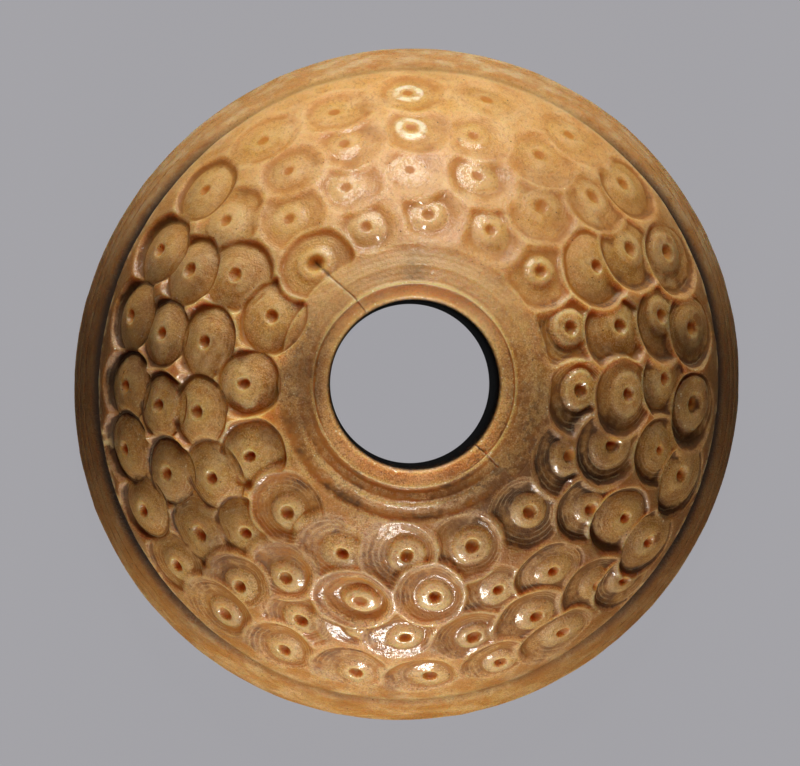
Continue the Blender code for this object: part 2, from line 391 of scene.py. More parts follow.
def bit_depth(mark, share, outward, sideways):
    """Depth that one turn of the bit leaves, at a share of its radius and a place inside it."""
    boss, groove, deep, crown = mark["boss"], mark["groove"], mark["deep"], mark["crown"]
    floor_from = boss + STEP_OUTSIDE
    rise = np.clip((share - floor_from) / (mark["rim"] - floor_from), 0.0, 1.0)
    dish = crown * np.minimum(share / boss, 1.0) ** 2
    dish += ((deep - crown) * ramp(share, boss - STEP_INSIDE, floor_from)
             - deep * rise ** mark["wall"])
    cushion = deep * np.minimum(share / groove, 1.0) ** CUSHION_FALL
    cushion = cushion * (1.0 - np.clip((share - groove) / (1.0 - groove), 0.0, 1.0) ** GROOVE_WALL)
    cut = dish + mark["pillow"] * (cushion - dish)
    tipped = mark["base"] - mark["radius"] * (mark["lean_bore"] * outward
                                              + mark["lean_side"] * sideways)
    tipped = tipped * (1.0 - ramp(share, 0.80, 1.0))
    pit_share = np.clip(share / (mark["pit"] * PIT_MARGIN), 0.0, 1.0)
    pit = mark["pit_depth"] * (1.0 - pit_share ** mark["pit_wall"])
    return np.maximum(cut, pit) + tipped


print("deepest planned cut, mm:", round(max(mark["deep"] for mark in marks), 2))

# %% [markdown]
# ## Bore all the marks
# A Boolean cut for each mark would leave knife edges and slivers where the marks run into one
# another, and the real ones are worn and flow together. So each vertex of the dome is sunk
# along the dome's radius instead, by the depth that the bits left there. A later mark wipes out
# what earlier ones left inside it, as far as its "keep" says, and those that keep least come last.

# %% Depth of the marks in any direction
FURTHEST_SHARE = 1.12
SEARCH_SHARE = 1.35
UNMARKED_SHARE = 1.3
WANDER = 0.0028
QUICK_WANDER = 0.0014


def wander(direction):
    """The same directions bent a little, so that the marks are not quite round."""
    swing = np.sin(direction[:, [1, 2, 0]] * (31.0, 23.0, 27.0) + (0.4, 1.9, 3.1))
    quick_swing = np.sin(direction[:, [2, 0, 1]] * 61.0)
    bent = direction + WANDER * swing + QUICK_WANDER * quick_swing
    return bent / np.linalg.norm(bent, axis=1)[:, None]


def bored(direction):
    """Depth of the marks along each direction, which mark left it, at what share and side."""
    depth = np.zeros(len(direction))
    share_left = np.full(len(direction), UNMARKED_SHARE)
    mark_left = np.full(len(direction), -1)
    side_left = np.zeros(len(direction))
    for number, mark in enumerate(marks):
        size = mark["radius"] / DOME_RADIUS
        near = np.flatnonzero(direction @ mark["axis"] > math.cos(size * SEARCH_SHARE))
        close = direction[near]
        far = np.arccos(np.clip(close @ mark["axis"], -1.0, 1.0)) / size
        outward, sideways = close @ mark["down"], close @ mark["across"]
        stretch = far / np.maximum(np.hypot(outward, sideways), 1e-9)
        outward = outward * stretch * mark["oval"]
        sideways = sideways * stretch / mark["oval"]
        share = bit_share(mark, outward, sideways)
        side = (outward * math.cos(mark["reach_way"]) + sideways * math.sin(mark["reach_way"]))
        inside = share < FURTHEST_SHARE
        near, share = near[inside], share[inside]
        cut = bit_depth(mark, share, outward[inside], sideways[inside])
        wiped = ((1.0 - mark["keep"] * ramp(share, 0.45, 0.75))
                 * (1.0 - ramp(share, 0.95, FURTHEST_SHARE)))
        before = depth[near] * (1.0 - wiped)
        depth[near] = np.maximum(cut, before)
        chosen = (cut > before) & (share < 1.0)
        share_left[near[chosen]] = share[chosen]
        mark_left[near[chosen]] = number
        side_left[near[chosen]] = side[inside][chosen]
    return depth, share_left, mark_left, side_left


print("ready to bore", len(marks), "marks")


# %% Sink the vertices
def read_points(piece):
    """The vertices of a piece as an array."""
    spots = np.empty(len(piece.data.vertices) * 3)
    piece.data.vertices.foreach_get("co", spots)
    return spots.reshape(-1, 3)


def write_points(piece, spots):
    """Put an array back as the vertices of a piece."""
    piece.data.vertices.foreach_set("co", np.ascontiguousarray(spots, dtype=np.float32).ravel())
    piece.data.update()


MARKED_END = BAND_TOP + 0.3
spots = read_points(whorl)
reach = np.linalg.norm(spots, axis=1)
direction = spots / reach[:, None]
tilt = np.degrees(np.arccos(direction[:, 2]))
turn = np.degrees(np.arctan2(direction[:, 1], direction[:, 0])) % 360.0
across = np.hypot(spots[:, 0], spots[:, 1])
depth, share_left, _, _ = bored(wander(direction))
is_upper = (across > COLLAR_RIDGE_RADIUS) & (tilt < MARKED_END)
reach = np.where(is_upper & (depth > 0), np.minimum(reach, DOME_RADIUS - depth), reach)
spots = direction * reach[:, None]
write_points(whorl, spots)
print("deepest cut, mm:", round(float(depth.max()), 3))

# %% [markdown]
# ## Turned lines, worn unevenly
# The hollow under the marks is clear at the sides and worn away along the rest of the rim. Two
# fine lines run round the plain band below it. The collar's groove and ridge are sharp on the
# near side and worn down towards the dome elsewhere.

# %% Cut the rim's lines and wear the collar
RIM_LINES = ((RIM_GROOVE, 1.5, 0.34), (74.0, 0.5, 0.03), (77.5, 0.6, 0.04))
LINE_LEFT = 0.25
COLLAR_SHARP_TOWARDS = 255.0
COLLAR_MOST_WORN = 0.75
COLLAR_WEAR_SPARED = 0.70
WORN_BELOW_DOME = 0.04
TOP_LEVEL = 9.0
rim_clear = ramp(np.abs(np.cos(np.radians(turn))), 0.35, 0.85)
rim_cut = np.zeros(len(spots))
for place, width, line_depth in RIM_LINES:
    rim_cut += line_depth * np.exp(-((tilt - place) / width) ** 2)
outside = (across > BORE_RADIUS + 1.0) & (spots[:, 2] > 0.5)
on_collar = ((across > LIP_OUTER_RADIUS + 0.02) & (across < COLLAR_END_RADIUS)
             & (spots[:, 2] > TOP_LEVEL))
spared = ramp(np.cos(np.radians(turn - COLLAR_SHARP_TOWARDS)), 0.3, 0.9)
collar_wear = COLLAR_MOST_WORN - COLLAR_WEAR_SPARED * spared
dome_level = np.sqrt(np.maximum(DOME_RADIUS ** 2 - across ** 2, 0.0))
worn_level = dome_level - WORN_BELOW_DOME
spots[:, 2] += np.where(on_collar, (worn_level - spots[:, 2]) * collar_wear, 0.0)
spots -= direction * (rim_cut * (LINE_LEFT + (1.0 - LINE_LEFT) * rim_clear) * outside)[:, None]
write_points(whorl, spots)
print("deepest rim line, mm:", round(float(rim_cut.max()), 2))

# %% [markdown]
# ## Cracks
# Dry bone splits along its grain. One hairline runs from the mouth of the bore out to a pit of the
# first ring, and a second, shorter one crosses the collar on the other side. Each is a line of
# corners, given by bearing and distance from the bore's axis.

# %% Open the cracks
CRACKS = (((123.5, 3.0), (124.5, 3.9), (127.5, 4.95), (128.5, 5.75)),
          ((315.0, 3.0), (316.0, 3.6), (315.5, 4.3)))
CRACK_WIDTH = 0.034
CRACK_DEPTH = 0.05
FAR_AWAY = 9.0


def crack_share(spots):
    """How near each point lies to a crack, from 0 to 1 in it, seen along the bore."""
    nearest = np.full(len(spots), FAR_AWAY)
    for crack in CRACKS:
        corners = [np.array((reach * math.cos(math.radians(bearing)),
                             reach * math.sin(math.radians(bearing)))) for bearing, reach in crack]
        for start, end in zip(corners, corners[1:]):
            along = end - start
            share = np.clip((spots[:, :2] - start) @ along / (along @ along), 0.0, 1.0)
            gap = spots[:, :2] - start - share[:, None] * along
            nearest = np.minimum(nearest, np.hypot(gap[:, 0], gap[:, 1]))
    return np.exp(-(nearest / CRACK_WIDTH) ** 2) * (spots[:, 2] > TOP_LEVEL)


spots -= direction * (CRACK_DEPTH * crack_share(spots))[:, None]
write_points(whorl, spots)
print("cracks:", len(CRACKS))

# %% [markdown]
# ## Wear
# Hands, thread and burial have worn the work. Two Displace modifiers with cloud patterns push the
# surface in and out by a few hundredths of a millimetre. Sculpting it would do as well, but a
# pattern is the same on every run.

# %% Make the surface uneven
UNEVEN = (("swells", 1.3, 0.060), ("roughness", 0.20, 0.018))
upper_group = whorl.vertex_groups.new(name="upper")
upper_group.add(np.flatnonzero((across > BORE_RADIUS + 0.1) & (spots[:, 2] > 1.0)).tolist(),
                1.0, "REPLACE")
only(whorl)
for name, grain_size, strength in UNEVEN:
    clouds = bpy.data.textures.new(name, "CLOUDS")
    clouds.noise_scale = grain_size
    clouds.noise_depth = 2
    pushing = whorl.modifiers.new(name, "DISPLACE")
    pushing.texture = clouds
    pushing.texture_coords = "LOCAL"
    pushing.strength = strength
    pushing.vertex_group = upper_group.name
    bpy.ops.object.modifier_apply(modifier=pushing.name)
print("uneven by, mm:", [strength for _, _, strength in UNEVEN])

# %% [markdown]
# ## Worn edges
# A Smooth modifier wears edges down as handling does. A vertex group says how strongly: the rims
# of the marks more than their pits, and hardly at all on the collar. A second pass works on the
# far side alone, where the marks are nearly rubbed away.

# %% Wear the edges down
WEAR_LEVELS = 10
WEAR_FACTOR = 0.6
WEAR_ROUNDS = 10
RUBBING_ROUNDS = 40
PIT_WEAR = 0.35
COLLAR_WEAR = 0.1


def graded_group(name, amount, where):
    """A vertex group that holds an amount from 0 to 1, in a few levels."""
    group = whorl.vertex_groups.new(name=name)
    levels = np.round(WEAR_LEVELS * amount)
    for level in range(1, WEAR_LEVELS + 1):
        group.add(np.flatnonzero(where & (levels == level)).tolist(), level / WEAR_LEVELS,
                  "REPLACE")
    return group


def smooth_down(name, group, rounds):
    """Smooth the whorl as strongly as a vertex group says."""
    smoothing = whorl.modifiers.new(name, "SMOOTH")
    smoothing.factor = WEAR_FACTOR
    smoothing.iterations = rounds
    smoothing.vertex_group = group.name
    bpy.ops.object.modifier_apply(modifier=smoothing.name)


rims = PIT_WEAR + (1.0 - PIT_WEAR) * ramp(share_left, 0.25, 0.55)
rims = np.where(across < COLLAR_END_RADIUS, COLLAR_WEAR, rims)
handled = ramp(np.sin(np.radians(turn)), 0.45, 0.95)
only(whorl)
smooth_down("wear", graded_group("worn", rims, is_upper), WEAR_ROUNDS)
smooth_down("rubbing", graded_group("handled", handled, is_upper & (across > COLLAR_END_RADIUS)),
            RUBBING_ROUNDS)
print("rounds of smoothing:", WEAR_ROUNDS, "and", RUBBING_ROUNDS)

# %% [markdown]
# ## Off centre, and not quite round
# The bore sits a little off the middle of the outline, and the outline is a slight oval. A lathe
# cannot do that, but bone shrinks unevenly as it dries. So the finished work is moved in
# proportion: the bore by all of the offset, and the rim by none of it.

# %% Shift and draw out
BORE_OFFSET = (0.13, 0.03)
OVAL_SHARE = 0.011
OVAL_DIRECTION = 59.0


def place_on_outline(spots):
    """Shift the turned work off centre and make the outline slightly oval."""
    across = np.hypot(spots[:, 0], spots[:, 1])
    turn = np.arctan2(spots[:, 1], spots[:, 0])
    share = np.clip((across - BORE_RADIUS) / (RIM_RADIUS - BORE_RADIUS), 0.0, None)
    swell = 1 + OVAL_SHARE * share * np.cos(2 * (turn - math.radians(OVAL_DIRECTION)))
    moved = spots.copy()
    moved[:, 0] = spots[:, 0] * swell + BORE_OFFSET[0] * (1 - share)
    moved[:, 1] = spots[:, 1] * swell + BORE_OFFSET[1] * (1 - share)
    return moved


write_points(whorl, place_on_outline(read_points(whorl)))
print("bore moved by, mm:", BORE_OFFSET)

# %% [markdown]
# ## Keep what shows
# The fine sweep has far more faces than the form needs. Decimate keeps them along the edges of
# the marks and spares them on the plain band, the bore and the underside.

# %% Thin it out
KEPT_TRIANGLES = 190000
thinning = whorl.modifiers.new("thinning", "DECIMATE")
thinning.ratio = KEPT_TRIANGLES / (2 * len(whorl.data.polygons))
only(whorl)
bpy.ops.object.modifier_apply(modifier=thinning.name)
print("triangles kept:", sum(len(face.vertices) - 2 for face in whorl.data.polygons))

# %% [markdown]
# ## Find each mark again
# The look of old bone follows its form: dirt lies in the hollows, handling polishes the edges,
# and each turn of the bit left fine rings. Decimate has made new vertices, so they are moved back
# to where they were turned, and the bits are asked once more what they left at each of them.


# %% Places on the thinned mesh
def place_back(spots):
    """Undo the shift and the oval, near enough to find each mark again."""
    guess = spots.copy()
    for _ in range(4):
        guess += spots - place_on_outline(guess)
    return guess


final = place_back(read_points(whorl))
final_direction = final / np.linalg.norm(final, axis=1)[:, None]
_, final_share, final_mark, final_side = bored(wander(final_direction))
final_tilt = np.degrees(np.arccos(np.clip(final_direction[:, 2], -1, 1)))
final_turn = np.arctan2(final[:, 1], final[:, 0])
final_across = np.hypot(final[:, 0], final[:, 1])
on_top = (final_across > COLLAR_RIDGE_RADIUS) & (final_tilt < MARKED_END)
print("vertices:", len(final), "of them in marks:", int((final_mark >= 0).sum()))

# %% [markdown]
# ## Tones, stains and painted shade
# No two marks took up the same amount of dirt, so each gets a tone of its own, by chance. Two on
# the far side have a pale ring painted round the pit as a highlight, and their tone is set above
# all others. Dark stains from burial lie in patches, and the two broad darkenings on the sides of
# the dome, away from the lamps, are painted shade. Each is given by the bearing of its middle and
# its half width, by the tilts at which it starts, is full and ends, and by its strength.

# %% Tones of the marks, and stains and painted shade of the dome
HIGHLIGHT_RING_TONE = 2.0
PLAIN_TONE = 0.5
tone = random.Random(11)
# places outside all marks have the number -1, and so take the last value of each list
tones = np.array([tone.random() for _ in marks] + [PLAIN_TONE])
# marks with a painted highlight ring take the highest tone
for number, mark in enumerate(marks):
    if mark.get("highlight_ring"):
        tones[number] = HIGHLIGHT_RING_TONE
pillows = np.array([mark["pillow"] for mark in marks] + [0.0])
# the two broad entries at bearings 2 and 180 darken the sides of the dome, away from the lamps:
# painted shade; the others are stains
STAINS_AND_SHADE = ((2.0, 38.0, 26.0, 58.0, 80.0, 0.60), (180.0, 38.0, 28.0, 60.0, 80.0, 0.88),
          (318.0, 30.0, 14.0, 30.0, 80.0, 0.45), (340.0, 18.0, 18.0, 24.0, 36.0, 0.55),
          (172.0, 30.0, 15.0, 17.0, 19.0, 0.70), (90.0, 6.0, 16.0, 17.5, 19.0, 0.80),
          (215.0, 14.0, 36.0, 42.0, 52.0, 0.35), (350.0, 26.0, 15.0, 18.0, 20.0, 0.55),
          (303.0, 24.0, 17.5, 20.0, 24.0, 0.60))
STAIN_AND_SHADE_FADE = 5.0
MOST_STAINED_AND_SHADED = 0.9
stained_and_shaded = np.zeros(len(final))
for bearing, half_width, start, full, end, strength in STAINS_AND_SHADE:
    aside = (np.degrees(final_turn) - bearing + 180.0) % 360.0 - 180.0
    stained_and_shaded += (strength * np.exp(-(aside / half_width) ** 2) * ramp(final_tilt, start, full)
                * (1.0 - ramp(final_tilt, end, end + STAIN_AND_SHADE_FADE)))
print("stains:", len(STAINS_AND_SHADE), "strongest:", round(float(stained_and_shaded.max()), 2))

# %% [markdown]
# ## Hollow or sharp
# Dirt and painted shade need hollows, and polish and painted highlights need edges. Moving each
# vertex to the mean of its neighbours a few times shows which is which: where the surface is
# hollow, the mean lies outside it, and on an edge inside. More rounds find wider hollows.


# %% Bend of the surface
def bend(piece, rounds):
    """How hollow (above 0) or sharp (below 0) the surface is round each vertex."""
    spots = read_points(piece)
    normals = np.empty(len(spots) * 3)
    piece.data.vertices.foreach_get("normal", normals)
    normals = normals.reshape(-1, 3)
    ends = np.empty(len(piece.data.edges) * 2, dtype=np.int64)
    piece.data.edges.foreach_get("vertices", ends)
    ends = ends.reshape(-1, 2)
    both = np.concatenate((ends, ends[:, ::-1]))
    count = np.bincount(both[:, 0], minlength=len(spots))
    offset = spots.copy()
    for _ in range(rounds):
        mean = np.empty_like(offset)
        for axis in range(3):
            mean[:, axis] = np.bincount(both[:, 0], offset[both[:, 1], axis],
                                        minlength=len(spots)) / count
        offset = mean
    return np.einsum("ij,ij->i", offset - spots, normals)


FINE_ROUNDS, FINE_SCALE = 3, 20.0
BROAD_ROUNDS, BROAD_SCALE = 14, 8.0
hollow_fine = bend(whorl, FINE_ROUNDS) * FINE_SCALE
hollow_broad = bend(whorl, BROAD_ROUNDS) * BROAD_SCALE
print("share of hollow places:", round(float((hollow_fine > 0).mean()), 2))

# %% [markdown]
# ## Write it down for the material
# A material knows only a place and a normal, but it can read attributes. So all that was measured
# is stored with the vertices, one number each: places in the marks, cracks, the hollow of the rim
# with the arris above it, the tan band of the far side, the collar, stains with painted shade, and
# wear. Painting them by hand would do as well, but would have to be done again after each change of
# form.

# %% Attributes
RIM_FROM = 8.0
HOLLOW_WIDTH = 2.0
ARRIS_ABOVE = 2.7
ARRIS_WIDTH = 0.6
BAND_FADE = 2.0
at_rim = final_across > RIM_FROM
at_sides = ramp(np.abs(np.cos(final_turn)), 0.45, 0.95)
from_groove = final_tilt - RIM_GROOVE
attributes = {
    "mark_share": np.where(on_top, final_share, UNMARKED_SHARE),
    "mark_tone": tones[final_mark],
    "wide_side": np.where(on_top, final_side, 0.0),
    "pillow": pillows[final_mark],
    "crack": crack_share(final),
    # how far into the rim's hollow, for its painted shade, stronger at the sides
    "rim_hollow": (np.exp(-(from_groove / HOLLOW_WIDTH) ** 2)
                   * (LINE_LEFT + (1.0 - LINE_LEFT) * at_sides) * at_rim),
    "band": (ramp(final_tilt, BAND_TOP, BAND_TOP + BAND_FADE) * at_rim
             * ramp(np.sin(final_turn), -0.3, 0.5)),
    "arris": np.exp(-((from_groove + ARRIS_ABOVE) / ARRIS_WIDTH) ** 2) * at_sides * at_rim,
    "collar": (ramp(final_across, COLLAR_END_RADIUS + 0.1, COLLAR_END_RADIUS - 0.2)
               * (final[:, 2] > TOP_LEVEL)),
    "rubbed": ramp(np.sin(final_turn), 0.2, 0.85) * (final_tilt < BAND_TOP),
    "from_bore": final_across,
    # stains, and painted shade on the two sides of the dome
    "stain_and_shade": np.clip(stained_and_shaded, 0.0, MOST_STAINED_AND_SHADED),
    # the bore's wall, for its painted shade
    "bore_wall": (final_across < BORE_RADIUS + 0.05).astype(float),
    "hollow": hollow_fine,
    "hollow_wide": hollow_broad,
}
for name, values in attributes.items():
    layer = whorl.data.attributes.new(name, "FLOAT", "POINT")
    layer.data.foreach_set("value", np.ascontiguousarray(values, dtype=np.float32))
print("attributes:", len(attributes))

# %% [markdown]
# ## From millimetres to metres
# The whorl is shaded smooth, because its facets are far too small to be meant, and its mesh is
# brought to its true size in the frame, which counts in metres.

# %% Scale it down
MILLIMETRE = 0.001
print("finished whorl, mm:", [round(size, 2) for size in whorl.dimensions])
for face in whorl.data.polygons:
    face.use_smooth = True
whorl.data.transform(Matrix.Scale(MILLIMETRE, 4))

# %% [markdown]
# ## A way to write materials
# A material is arithmetic on patterns. One small class wraps a socket, so that a sum or a
# product in Python adds the matching Math node. A second one holds the material, and lays one
# colour over another as a painter lays glazes.


# %% Strand and Finish
class Strand:
    """One number that varies over a surface."""

    def __init__(self, finish, socket):
        self.finish = finish
        self.socket = socket

    def combine(self, operation, first, second):
        return self.finish.node("ShaderNodeMath", {"operation": operation},
                                {0: first, 1: second})

    def __add__(self, other):
        return self.combine("ADD", self, other)

    def __radd__(self, other):
        return self.combine("ADD", other, self)

    def __sub__(self, other):
        return self.combine("SUBTRACT", self, other)

    def __rsub__(self, other):
        return self.combine("SUBTRACT", other, self)

    def __mul__(self, other):
        return self.combine("MULTIPLY", self, other)

    def __rmul__(self, other):
        return self.combine("MULTIPLY", other, self)

    def held(self):
        """The same number, kept from 0 to 1."""
        return self.finish.node("ShaderNodeClamp", {}, {"Value": self})

    def between(self, low, high):
        """0 below low, 1 above high and smooth in between."""
        return self.finish.node("ShaderNodeMapRange", {"interpolation_type": "SMOOTHSTEP"},
                                {"Value": self, "From Min": low, "From Max": high})

    def sine(self):
        """Waves, one for each 6.28 that the number grows by."""
        return self.finish.node("ShaderNodeMath", {"operation": "SINE"}, {0: self})


class Finish:
    """A material under construction."""

    def __init__(self, name, colour):
        self.material = bpy.data.materials.new(name)
        self.material.use_nodes = True
        self.nodes = self.material.node_tree.nodes
        self.links = self.material.node_tree.links
        self.surface = self.nodes["Principled BSDF"]
        self.colour = colour

    def node(self, kind, settings, inputs, output=0):
        """Add a node with its settings and inputs, and hand on one of its outputs."""
        made = self.nodes.new(kind)
        for name, value in settings.items():
            setattr(made, name, value)
        for name, value in inputs.items():
            self.feed(made.inputs[name], value)
        return Strand(self, made.outputs[output])

    def feed(self, socket, value):
        """Link a strand to a socket, or set the socket to a value."""
        if isinstance(value, Strand):
            self.links.new(value.socket, socket)
        else:
            socket.default_value = value

    def feed_surface(self, values):
        """Feed the shader's own sockets, by their names."""
        for name, value in values.items():
            self.feed(self.surface.inputs[name], value)

    def paint(self, share, colour):
        """Lay a colour over the one so far, as strongly as share says."""
        # sockets 6 and 7 and output 2 are the ones that a Mix node has for colours
        self.colour = self.node("ShaderNodeMix", {"data_type": "RGBA"},
                                {0: share, 6: self.colour, 7: colour}, output=2)

    def attribute(self, name):
        """A number that was stored with the vertices."""
        return self.node("ShaderNodeAttribute", {"attribute_name": name}, {}, output="Fac")


print("ready to write materials")

# %% [markdown]
# ## Old bone
# Bone is warm white when fresh. Centuries of handling and burial stain it honey to amber, leave
# brown dirt in the cuts, and polish it until it glows: light goes in a little way and comes out
# orange. It could be painted on as a picture, but worked out from patterns and attributes it
# stays sharp close up and follows each change of form.

# %% Colours of bone and dirt
SKIN = (0.680, 0.375, 0.125, 1.0)
HONEY = (0.640, 0.355, 0.085, 1.0)
AMBER = (0.500, 0.180, 0.016, 1.0)
PALE = (0.800, 0.550, 0.270, 1.0)
ROSE = (0.640, 0.325, 0.140, 1.0)
BROWN = (0.240, 0.095, 0.028, 1.0)
PIT_ORANGE = (0.480, 0.180, 0.022, 1.0)
# pale colour of the painted highlights: rings round two pits and glints on sharp edges
PAINTED_HIGHLIGHT = (0.900, 0.840, 0.620, 1.0)
NIGHT = (0.030, 0.012, 0.004, 1.0)
DARK = (0.070, 0.028, 0.009, 1.0)
BAND_TAN = (0.640, 0.460, 0.250, 1.0)
BORE_BROWN = (0.020, 0.010, 0.005, 1.0)
bone = Finish("old polished bone", SKIN)
print("skin colour:", SKIN[:3])

# %% [markdown]
# ## Patterns and measures
# All unevenness of colour comes from noise at a few sizes, from patches as wide as a mark down to
# fine sand. Bone's grain runs along its length, here along the bore, so one set of patterns is
# drawn out that way. Places are turned back into millimetres, so that scales are easy to judge.

# %% Patterns
metres = bone.node("ShaderNodeTexCoord", {}, {}, output="Object")
place = bone.node("ShaderNodeVectorMath", {"operation": "SCALE"},
                  {0: metres, "Scale": 1000.0})
streaky = bone.node("ShaderNodeVectorMath", {"operation": "MULTIPLY"},
                    {0: place, 1: (1.0, 1.0, 0.18)})


def noise(vector, scale, detail=3.0, roughness=0.55):
    """A cloudy pattern round 0.5, finer for a larger scale."""
    return bone.node("ShaderNodeTexNoise", {},
                     {"Vector": vector, "Scale": scale, "Detail": detail,
                      "Roughness": roughness})


patches = noise(place, 0.22)
mottle = noise(place, 0.9, 4.0, 0.6)
grain = noise(streaky, 9.0, 2.0, 0.5)
fine = noise(place, 5.0, 5.0, 0.65)
sand = noise(place, 16.0, 2.0, 0.6)
blots = noise(place, 2.6, 4.0, 0.6)
print("nodes so far:", len(bone.nodes))

# %% Measures of the form
# in the order in which the attributes were stored
(share, mark_tone, wide_side, pillow, crack, rim_hollow, band_tan, arris, collar, rubbed,
 from_bore, stain_and_shade, bore_wall, hollow, hollow_wide) = map(bone.attribute, attributes)
on_boss = 1.0 - share.between(0.45, 0.7)
in_mark = 1.0 - share.between(0.9, 1.05)
on_slope = share.between(0.45, 0.75)
print("nodes so far:", len(bone.nodes))

# %% [markdown]
# ## Skin
# The bosses are more honey-coloured than the rest, and the worn rims between the marks a little
# rosy, and the slopes of the cuts are amber. Patches of amber and of pale bone break this up.

# %% Paint the skin
yellow = on_boss * 0.55 + (patches - 0.5) * 3.0 + mark_tone * 0.25 + pillow * in_mark * 0.3
bone.paint(yellow.held(), HONEY)
rim = share.between(0.78, 0.92) * (1.0 - share.between(1.15, 1.28))
bone.paint((rim * (1.0 - rubbed * 0.7) * (0.4 + (blots - 0.4) * 2.0)).held(), ROSE)
slope = share.between(0.40, 0.55) * (1.0 - share.between(0.72, 0.88)) * (1.0 - rubbed * 0.8)
bone.paint(slope * (0.20 + pillow * 0.25), AMBER)
bare = share.between(1.1, 1.28) * (1.0 - collar)
bone.paint(mottle.between(0.42, 0.7) * (0.62 - rubbed * 0.22) * (1.0 - bare * 0.4), AMBER)
bone.paint(noise(place, 0.6, 3.0).between(0.5, 0.7) * (0.55 - bare * 0.2), PALE)
print("nodes so far:", len(bone.nodes))

# %% [markdown]
# ## Grain
# Where the surface is fresh it is sandy, with pale and brown specks. Hands have rubbed most of that
# away on the far side, where the plain band is a greyish tan.

# %% Paint the grain
bone.paint(grain.between(0.48, 0.75) * 0.4, BROWN)
fresh = (1.0 - rubbed) * (1.0 - pillow * in_mark * 0.35)
bone.paint(fine.between(0.50, 0.68) * (0.15 + fresh * 0.45), BROWN)
bone.paint(sand.between(0.52, 0.66) * (0.30 + fresh * 0.45), PALE)
bone.paint((1.0 - sand.between(0.33, 0.46)) * (0.1 + fresh * 0.5), BROWN)
brown_patches = noise(place, 0.36, 3.0).between(0.5, 0.66)
bone.paint(brown_patches * 0.5 * (1.0 - rubbed * 0.6), BROWN)
bone.paint(band_tan * 0.72, BAND_TAN)
print("nodes so far:", len(bone.nodes))

# %% [markdown]
# ## Edges, creases and painted shade
# Edges are worn to a paler bone, and the paleness also stands for painted highlights. Creases are
# amber, partly from dirt and partly as painted shade, and so are the feet of the cushions and the
# narrow bridges between marks, which are browner where stains and the painted shade of the sides
# lie.

# %% Paint the edges and creases
# worn pale edges; the paleness also stands for painted highlights
edge = (0.0 - hollow).between(0.04, 0.35) * (1.0 - collar * 0.7)
bone.paint(edge * (0.5 - stain_and_shade * 0.4), PALE)
# amber in the creases and at the feet of the cushions: partly dirt, partly painted shade
crease = (hollow * 1.5 + hollow_wide).between(0.0, 0.6)
cushion_foot = share.between(0.6, 0.95) * pillow * in_mark
bone.paint(((crease * 0.9 + cushion_foot * 0.35) * (1.0 - rubbed * 0.35)).held(), AMBER)
bridge = share.between(1.05, 1.25) * (1.0 - rubbed) * (1.0 - collar)
bone.paint(bridge * mottle.between(0.35, 0.6) * 0.6, AMBER)
# browner on the bridges where the stains and the painted shade of the sides lie
bone.paint(bridge * (stain_and_shade * 1.6 - 0.2).held() * 0.7, BROWN)
print("nodes so far:", len(bone.nodes))

# %% [markdown]
# ## Dirt and painted shade
# Brown dirt sits in the creases, mostly on the side to which each mark reaches furthest, because
# the cut is wide there. The stained patches are darker still, and so are the two sides of the dome,
# where the darkening is painted shade; both are nearly black where they meet a crease.

# %% Paint the dirt and the painted shade
dirt_here = (wide_side * 1.4 + (noise(place, 0.45, 2.0) - 0.5) * 6.0).held()
grimy = (blots * 0.6 + sand * 0.4).between(0.44, 0.58)
grime = (crease * 0.8 + on_slope * in_mark * 0.35).held() * dirt_here * (1.0 - collar * 0.6)
grime = grime * (1.0 - rubbed * 0.75)
bone.paint((grime * (0.2 + grimy * 0.7)).held(), BROWN)
bone.paint((grime * grimy * mottle.between(0.5, 0.65) * 0.6).held(), DARK)
# dark stains, and on the sides of the dome painted shade, nearly black where they meet a crease
dirt_and_shade = (stain_and_shade * (crease * 1.2 + (blots - 0.5) * 1.2
                  + collar * blots.between(0.47, 0.58) * 0.9)).held()
bone.paint((stain_and_shade * 0.62 + dirt_and_shade * 0.45).held() * 0.9, DARK)
bone.paint(dirt_and_shade * crease * 0.5, NIGHT)
print("nodes so far:", len(bone.nodes))

# %% [markdown]
# ## Traces of the bit
# The bit's teeth left fine arcs in each cut, dark where dirt has stayed in them and pale between.
# Two marks have a pale ring painted round the pit as a highlight. The pits are painted orange, as
# the glow of light through the bone in their shade.

# %% Paint arcs, rings and pits
arcs = (share * 62.0 + fine * 5.0).sine() * share.between(0.45, 0.6) * in_mark * fresh
bone.paint(arcs.between(0.2, 1.0) * blots.between(0.42, 0.6) * 0.40, BROWN)
bone.paint((0.0 - arcs).between(0.2, 1.0) * mottle.between(0.42, 0.6) * 0.30, PALE)
# a pale ring painted round the pits of two marks, standing for their highlight
ring = share.between(0.22, 0.30) * (1.0 - share.between(0.38, 0.48))
highlight_ring = mark_tone.between(1.2, 1.8) * ring * blots.between(0.30, 0.55)
bone.paint(highlight_ring * 0.75, PAINTED_HIGHLIGHT)
# painted glow: the pits orange, as light glows through the bone into their shade
pit = 1.0 - share.between(0.11, 0.19)
bone.paint(pit * 0.9, PIT_ORANGE)
print("nodes so far:", len(bone.nodes))

# %% [markdown]
# ## Specks, the rim and glints
# Small dark specks are the mouths of bone's blood channels. The hollow at the rim is painted black
# as shade, most of all at the sides, and the arris above it has a painted highlight. Flecks of
# painted highlight lie on the sharpest edges. Points strewn by a Voronoi pattern make both the
# specks and the flecks.


# %% Paint specks, rim and glints
def strewn(vector, scale):
    """How far each place is from the nearest of many points, strewn closer for a larger scale."""
    return bone.node("ShaderNodeTexVoronoi", {}, {"Vector": vector, "Scale": scale},
                     output="Distance")


speck = (1.0 - strewn(streaky, 2.6).between(0.03, 0.09)) * blots.between(0.42, 0.55)
